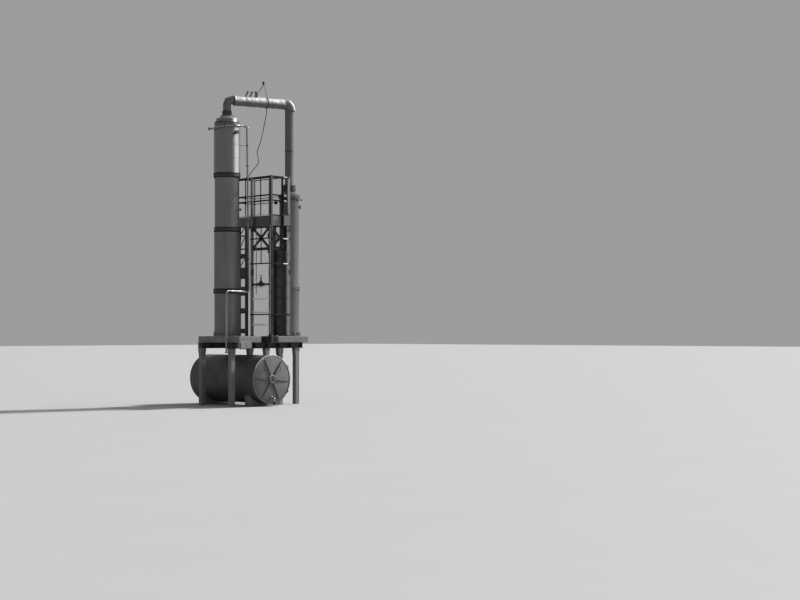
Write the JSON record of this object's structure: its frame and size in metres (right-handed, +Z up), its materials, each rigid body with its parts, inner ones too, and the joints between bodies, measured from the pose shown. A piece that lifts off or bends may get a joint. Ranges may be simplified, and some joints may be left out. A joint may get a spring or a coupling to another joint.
{
  "type": "twin distillation column unit on a raised table",
  "caption": "Small refinery unit: tall and short distillation columns joined by an overhead vapour line, service tower, raised table and a horizontal drum beneath.",
  "frame": {"origin": "middle of the unit's footprint, on the ground", "axes": "+Z up, +X from the main column towards the second column, -Y towards the drum's ribbed cover"},
  "size_m": [2.866, 3.3056, 9.5963],
  "materials": {
    "shell_paint": "weathered grey vessel paint, satin",
    "cladding": "dented sheet cladding over insulation",
    "dark_steel": "dull dark structural paint",
    "pipe_steel": "light grey pipe paint, dull",
    "drum_paint": "weathered grey drum paint",
    "concrete": "rough cast concrete",
    "cable": "dull black sheath"
  },
  "bodies": {
    "root": {"slab_main": "concrete", "slab_second": "concrete", "beam_front": "dark_steel", "beam_rear": "dark_steel", "leg_front_left": "concrete", "leg_front_middle": "concrete", "leg_front_right": "concrete", "leg_rear_left": "concrete", "leg_rear_middle": "concrete", "leg_rear_right": "concrete", "tower_sill": "dark_steel", "main_shell_base": "shell_paint", "main_shell_lower": "shell_paint", "main_shell_upper": "shell_paint", "main_shell_top": "shell_paint", "main_head": "shell_paint", "overhead_riser": "shell_paint", "overhead_run": "cladding", "overhead_down_pipe": "shell_paint", "second_shell_lower": "shell_paint", "second_shell_upper": "shell_paint", "second_head": "shell_paint", "feed_pipe": "pipe_steel", "second_ring_pipe": "pipe_steel", "tower_post_near": "dark_steel", "tower_post_left": "dark_steel", "tower_post_right": "dark_steel", "tower_post_rear": "dark_steel", "laced_column": "dark_steel", "platform_fascia": "dark_steel", "platform_deck": "dark_steel", "guard_rail_left": "dark_steel", "guard_rail_front": "dark_steel", "guard_rail_right": "dark_steel", "guard_rail_rear": "dark_steel", "brace_side": "dark_steel", "brace_front": "dark_steel", "tower_tie_upper": "pipe_steel", "tower_tie_lower": "pipe_steel", "tower_tie_foot": "pipe_steel", "cross_bar_low": "pipe_steel", "cross_bar_middle": "pipe_steel", "cross_bar_high": "pipe_steel", "cross_bar_top": "pipe_steel", "bypass_line": "dark_steel", "access_ladder": "dark_steel", "lamp_shade": "dark_steel", "cable_collar": "dark_steel", "lamp_cable": "cable", "junction_box": "pipe_steel", "drum_shell": "drum_paint", "drum_cover": "drum_paint", "drum_far_head": "drum_paint", "drum_saddle_front": "concrete", "drum_saddle_rear": "concrete", "drum_drain": "pipe_steel"}
  },
  "joints": []
}
